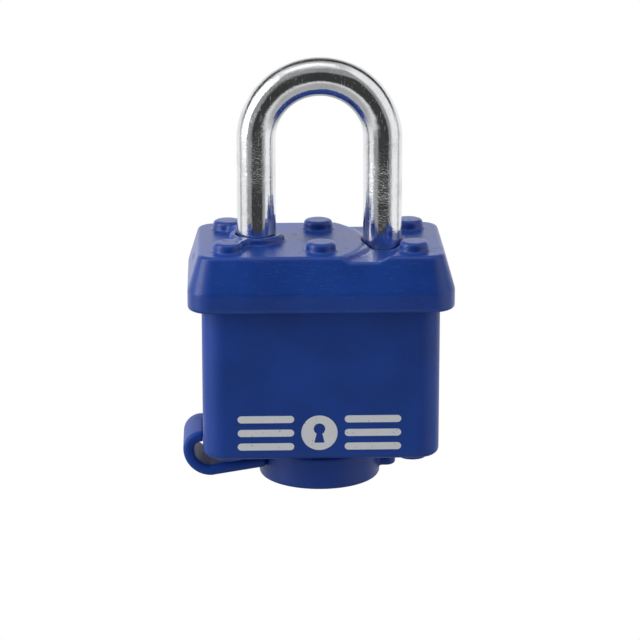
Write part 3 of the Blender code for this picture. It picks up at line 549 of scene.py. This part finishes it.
strap = dict(width=12.5, thick=2.0, rootX=-21.95, rootZ=8.75, rootIn=0.35, bulge=2.4, drop=4.15,
             endX=-10.9, endZ=3.7, bendFrom=(-21.9, 0, 9), bendTo=(-15, 0, 3),
             jacketX=21.7, jacketY=12.8, jacketCorner=4.2, jacketAbove=6, capRadius=11.1,
             boxLow=(-26.2, -6.9, 0.6), boxHigh=(-8.5, 6.9, 10.6), grid=0.26)


# The strap's middle line, from the jacket round to the keyway cover
def strapLine():
    s = strap
    turnZ = s["rootZ"] - s["bulge"]
    outer = arcPoints(s["rootX"], turnZ, s["bulge"], 90, 180, 12)
    inner = arcPoints(s["rootX"] - s["bulge"] + s["drop"], turnZ, s["drop"], 180, 270, 16)
    return [(s["rootX"] + s["rootIn"], s["rootZ"])] + outer + inner[1:] + [(s["endX"], s["endZ"])]


def strapField(x, y, z):
    away = None
    line = strapLine()
    for (ax, az), (bx, bz) in zip(line, line[1:]):
        dx, dz = bx - ax, bz - az
        t = np.clip(((x - ax) * dx + (z - az) * dz) / (dx * dx + dz * dz), 0, 1)
        gap = np.hypot(x - ax - t * dx, z - az - t * dz)
        away = gap if away is None else np.minimum(away, gap)
    ribbon = softMax(away - strap["thick"] / 2, np.abs(y) - strap["width"] / 2, 1.0)
    inJacket = roundRect(x, y, strap["jacketX"], strap["jacketY"], strap["jacketCorner"])
    inCap = strap["capRadius"] - np.hypot(x, y)
    ribbon = softMax(ribbon, np.where(z > strap["jacketAbove"], -inJacket, -100.0), 0.2)
    return softMax(ribbon, inCap, 0.2)


strapPiece = netMesh("strap_moulding", strapField, strap)
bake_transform(strapPiece)
finishPiece(strapPiece, None, "strap", ["key_cover_strap"])
print("mouldings done")


# Geometry Nodes pieces

def newTree(name, sizes):
    tree = bpy.data.node_groups.new(name, "GeometryNodeTree")
    for key in sizes:
        tree.interface.new_socket(key, in_out="INPUT", socket_type="NodeSocketFloat")
    tree.interface.new_socket("Piece", in_out="OUTPUT", socket_type="NodeSocketGeometry")
    made = Tree(tree)
    group = tree.nodes.new("NodeGroupInput")
    return made, {key: Wire(made, group.outputs[key]) for key in sizes}


def endTree(made, geometry, material):
    real = made.add("GeometryNodeRealizeInstances", {}, {"Geometry": geometry})
    painted = made.add("GeometryNodeSetMaterial", {}, {"Geometry": real, "Material": material})
    out = made.nodes.new("NodeGroupOutput")
    made.put(out.inputs[0], painted)


# The tree's result as a plain mesh, with these sizes in mm, put in its place
def growPiece(name, made, sizes, place=Matrix.Identity(4)):
    obj = link(bpy.data.objects.new(name, bpy.data.meshes.new(name)))
    step = obj.modifiers.new(name, "NODES")
    step.node_group = made.tree
    for item in made.tree.interface.items_tree:
        if item.in_out == "INPUT":
            step[item.identifier] = float(sizes[item.name])
    graph = bpy.context.evaluated_depsgraph_get()
    mesh = bpy.data.meshes.new_from_object(obj.evaluated_get(graph))
    obj.modifiers.clear()
    mesh.transform(Matrix.Scale(mm, 4))
    mesh.transform(place)
    mesh.name = name
    obj.data = mesh
    return obj


# A round rod along a line of points, whose radius can change along it
def rodAlong(made, position, radius, count, sides):
    line = made.add("GeometryNodeMeshLine", {}, {"Count": count})
    moved = made.add("GeometryNodeSetPosition", {}, {"Geometry": line, "Position": position})
    curve = made.add("GeometryNodeMeshToCurve", {}, {"Mesh": moved})
    ring = made.add("GeometryNodeCurvePrimitiveCircle", {}, {"Resolution": sides, "Radius": 1.0})
    return made.add("GeometryNodeCurveToMesh", {}, {"Curve": curve, "Profile Curve": ring,
                                                    "Scale": radius, "Fill Caps": True})


shackle = dict(rod=7.14, leg=11.5, heel=17.65, toe=32.30, bow=63.57, chamfer=1.0,
               notch=36.45, notchHalf=1.2, notchDepth=1.6, cutter=20.0, groove=24.45, grooveSoft=0.15)
shackleRings, shackleSides = 400, 72


def shackleTree():
    made, size = newTree("shackleTree", shackle)
    heelLength = size["bow"] - size["heel"]
    bend = math.pi * size["leg"]
    length = heelLength + bend + size["bow"] - size["toe"]
    along = made.add("GeometryNodeInputIndex") / (shackleRings - 1) * length
    turn = ((along - heelLength) / size["leg"]).most(0.0).least(math.pi)
    x = -(size["leg"] * turn.cos())
    down = (along - heelLength - bend).most(0.0)
    z = size["heel"] + along.least(heelLength) + size["leg"] * turn.sin() - down
    fromEnd = along.least(length - along)
    bevel = ((size["chamfer"] - fromEnd) / size["chamfer"]).most(0.0)
    cut = (size["notchHalf"] - abs(z - size["groove"])).step(-size["grooveSoft"], size["grooveSoft"])
    cut = cut * (-x).step(0.0, 0.1)  # on the heel leg only
    radius = size["rod"] / 2 - size["chamfer"] * bevel * bevel - size["notchDepth"] * cut
    rod = rodAlong(made, made.join(x, 0.0, z), radius, shackleRings, shackleSides)
    inner = size["leg"] - size["rod"] / 2 + size["notchDepth"]
    block = made.join(inner * 2, size["cutter"], size["notchHalf"] * 2)
    box = made.add("GeometryNodeMeshCube", {}, {"Size": block})
    place = made.join(0.0, 0.0, size["notch"])
    box = made.add("GeometryNodeTransform", {}, {"Geometry": box, "Translation": place})
    node = made.nodes.new("GeometryNodeMeshBoolean")
    node.operation = "DIFFERENCE"
    node.solver = "EXACT"
    made.put(node.inputs[0], rod)
    made.put(node.inputs[1], box)
    endTree(made, Wire(made, node.outputs[0]), materials["chrome"])
    return made


shacklePiece = growPiece("shackle_rod", shackleTree(), shackle)
shacklePiece.data.shade_smooth()
shacklePiece.data.set_sharp_from_angle(angle=math.radians(40))
finishPiece(shacklePiece, "shackle", "chrome", ["shackle"])


# A compression spring from z 0 up, with its end turns closed
coilPoints, coilSides = 240, 10


def coilTree():
    made, size = newTree("coilTree", dict(radius=0, length=0, turns=0, wire=0))
    t = made.add("GeometryNodeInputIndex") / (coilPoints - 1)
    angle = t * size["turns"] * (2 * math.pi)
    closed = 0.75  # turns that lie flat at each end
    slope = 0.6  # how far the wire climbs besides, in wires, from end to end
    climb = (t * size["turns"] - closed) / (size["turns"] - 2 * closed)
    z = climb.most(0.0).least(1.0) * size["length"] + (t - 0.5) * size["wire"] * slope
    position = made.join(size["radius"] * angle.cos(), size["radius"] * angle.sin(), z)
    rod = rodAlong(made, position, size["wire"] / 2, coilPoints, coilSides)
    endTree(made, rod, materials["springs"])
    return made


springTree = coilTree()
shackleCoil = dict(radius=2.7, turns=6.5, wire=0.75, end=0.6)
pinCoil = dict(radius=0.78, turns=6.5, wire=0.26, end=0.3)
leverCoil = dict(radius=0.58, turns=7.5, wire=0.22, end=0.25)


# A coil laid in a gap, with its wire's middle line ending a little inside each end
def addSpring(name, coil, start, along, gap):
    sizes = {**coil, "length": gap - 2 * coil["end"]}
    first = Vector(start) + Vector(along) * coil["end"]
    turn = Vector((0, 0, 1)).rotation_difference(Vector(along)).to_matrix().to_4x4()
    obj = growPiece(name, springTree, sizes, Matrix.Translation(first * mm) @ turn)
    obj.data.shade_smooth()
    return obj


def nodeBox(node):
    low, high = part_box(node)
    return [v / mm for v in low], [v / mm for v in high]


low, high = nodeBox("shackle_spring")
spring = addSpring("shackle_coil", shackleCoil, (-legX, 0, low[2]), (0, 0, 1), high[2] - low[2])
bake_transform(spring)
finishPiece(spring, None, "springs", ["shackle_spring"])
for number in range(1, 5):
    node = f"pin_spring_{number}"
    low, high = nodeBox(node)
    start = (low[0], 0, (low[2] + high[2]) / 2)
    spring = addSpring(f"pin_coil_{number}", pinCoil, start, (1, 0, 0), high[0] - low[0])
    finishPiece(spring, "lock_body", "springs", [node])
for node in ("front_lever_spring", "back_lever_spring"):
    low, high = nodeBox(node)
    start = (low[0], (low[1] + high[1]) / 2, (low[2] + high[2]) / 2)
    coilName = node.replace("spring", "coil")
    spring = addSpring(coilName, leverCoil, start, (1, 0, 0), high[0] - low[0])
    finishPiece(spring, "lock_body", "springs", [node])
print("shackle and springs done")


# The CAD pieces that stay as they are take a finish by their kind
finishes = {"plate": "plates", "rivet": "rivets", "heel_lever": "levers", "toe_lever": "levers",
            "plug_cam": "levers", "cylinder": "cylinder", "chamber": "cylinder",
            "driver_pin": "pins", "key_pin": "pins"}
for name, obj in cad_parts.items():
    for start, slot in finishes.items():
        if name.startswith(start) and obj.type == "MESH":
            for place in obj.material_slots:
                place.material = materials[slot]
print("finishes given")


# Floor, light and camera. The camera sees plain white all round. The lock is
# lit by and mirrors a studio with grey panels, whose edges are in degrees, as
# from, to and softness. Only stripAcross is in shares of the direction's x.

studio = dict(greyAcross=(-58, 52, 16), greyUp=(-21, 60, 12), greyLoss=0.66,
              darkAcross=(-29, 35, 9), darkUp=(-19, 33, 8), darkLoss=0.29,
              towardCamera=(0.276, 0.961), ring=(100, 114, 10), ringLoss=0.5,
              belowFrom=(-38, -18), belowLoss=0.55, overheadFrom=(52, 76), overheadLoss=0.42,
              behindFrom=(140, 160), behindUp=(-5, 40, 20), behindGain=0.3,
              stripOver=(73, 93, 8), stripAcross=(-0.45, 0.28, 0.18), stripGain=0.8,
              backOver=(108, 146, 14), backLoss=0.62, darkest=0.03,
              floorHeight=-0.0345, floorSize=30)


def studioWorld():
    s = studio
    world = bpy.data.worlds.new("studio")
    bpy.context.scene.world = world
    world.use_nodes = True
    tree = Tree(world.node_tree)
    tree.nodes.clear()
    x, y, z = tree.parts(tree.add("ShaderNodeTexCoord", out=0))
    up, front = s["towardCamera"]
    toDegrees = 180 / math.pi
    turn = x.calc("ARCTAN2", x, -y) * toDegrees  # from straight ahead of the lock
    rise = z.calc("ARCSINE", z) * toDegrees
    away = x.calc("ARCCOSINE", z * up - y * front) * toDegrees  # from the camera's side
    over = z.calc("ARCTAN2", z, -y) * toDegrees  # up from the front and over to the back
    grey = turn.between(*s["greyAcross"]) * rise.between(*s["greyUp"])
    dark = turn.between(*s["darkAcross"]) * rise.between(*s["darkUp"])
    level = 1.0 - grey * s["greyLoss"] - dark * s["darkLoss"]
    level = level - away.between(*s["ring"]) * s["ringLoss"]
    level = level - (1.0 - rise.step(*s["belowFrom"])) * s["belowLoss"]
    level = level - rise.step(*s["overheadFrom"]) * s["overheadLoss"]
    behind = away.step(*s["behindFrom"]) * rise.between(*s["behindUp"])
    level = (level + behind * s["behindGain"]).most(s["darkest"])
    strip = over.between(*s["stripOver"]) * x.between(*s["stripAcross"])
    level = level + strip * s["stripGain"] - over.between(*s["backOver"]) * s["backLoss"]
    level = level.most(s["darkest"])
    seen = tree.add("ShaderNodeLightPath", out=0)
    level = level * (1.0 - seen) + seen
    shader = tree.add("ShaderNodeBackground", {}, {"Color": (1, 1, 1, 1), "Strength": level})
    out = tree.nodes.new("ShaderNodeOutputWorld")
    tree.put(out.inputs[0], shader)


# A plain white floor, lit evenly, that shows only from above
def addFloor(height, size):
    bpy.ops.mesh.primitive_plane_add(size=size, location=(0, 0, height))
    floor = bpy.context.object
    floor.name = "floor"
    material = bpy.data.materials.new("floor_white")
    material.use_nodes = True
    tree = Tree(material.node_tree)
    tree.nodes.clear()
    white = tree.add("ShaderNodeEmission", {}, {"Color": (1, 1, 1, 1), "Strength": 1.0})
    clear = tree.add("ShaderNodeBsdfTransparent")
    under = tree.add("ShaderNodeNewGeometry", out=6)  # 1 where the floor is seen from below
    out = tree.nodes.new("ShaderNodeOutputMaterial")
    tree.put(out.inputs[0], tree.add("ShaderNodeMixShader", {}, {0: under, 1: white, 2: clear}))
    floor.data.materials.append(material)
    floor.visible_glossy = False
    floor.visible_diffuse = False


def addSoftbox(name, place, target, width, height, power, mirrored=True):
    data = bpy.data.lights.new(name, "AREA")
    data.shape = "RECTANGLE"
    data.size = width
    data.size_y = height
    data.energy = power
    light = link(bpy.data.objects.new(name, data))
    light.location = place
    light.rotation_euler = (Vector(target) - Vector(place)).to_track_quat("-Z", "Y").to_euler()
    light.visible_camera = False
    light.visible_glossy = mirrored


def addCamera(azimuth, elevation, distance, target, lens):
    data = bpy.data.cameras.new("camera")
    data.lens = lens
    data.sensor_width = 36
    camera = link(bpy.data.objects.new("camera", data))
    a, e = math.radians(azimuth), math.radians(elevation)
    away = Vector((math.sin(a) * math.cos(e), -math.cos(a) * math.cos(e), math.sin(e)))
    camera.location = Vector(target) + away * distance
    camera.rotation_euler = (-away).to_track_quat("-Z", "Y").to_euler()
    bpy.context.scene.camera = camera


studioWorld()
addFloor(studio["floorHeight"], studio["floorSize"])
centre = (0, 0, 0.035)
addSoftbox("left_softbox", (-0.55, -0.15, 0.25), centre, width=0.35, height=0.6, power=2.0)
addSoftbox("top_softbox", (0.05, 0.15, 0.70), centre, width=0.6, height=0.4, power=0.9,
           mirrored=False)
addCamera(azimuth=-1.8, elevation=16, distance=0.560, target=(0.0001, 0, 0.0293), lens=170.7)
bpy.context.scene.view_settings.view_transform = "Standard"
print("studio ready")
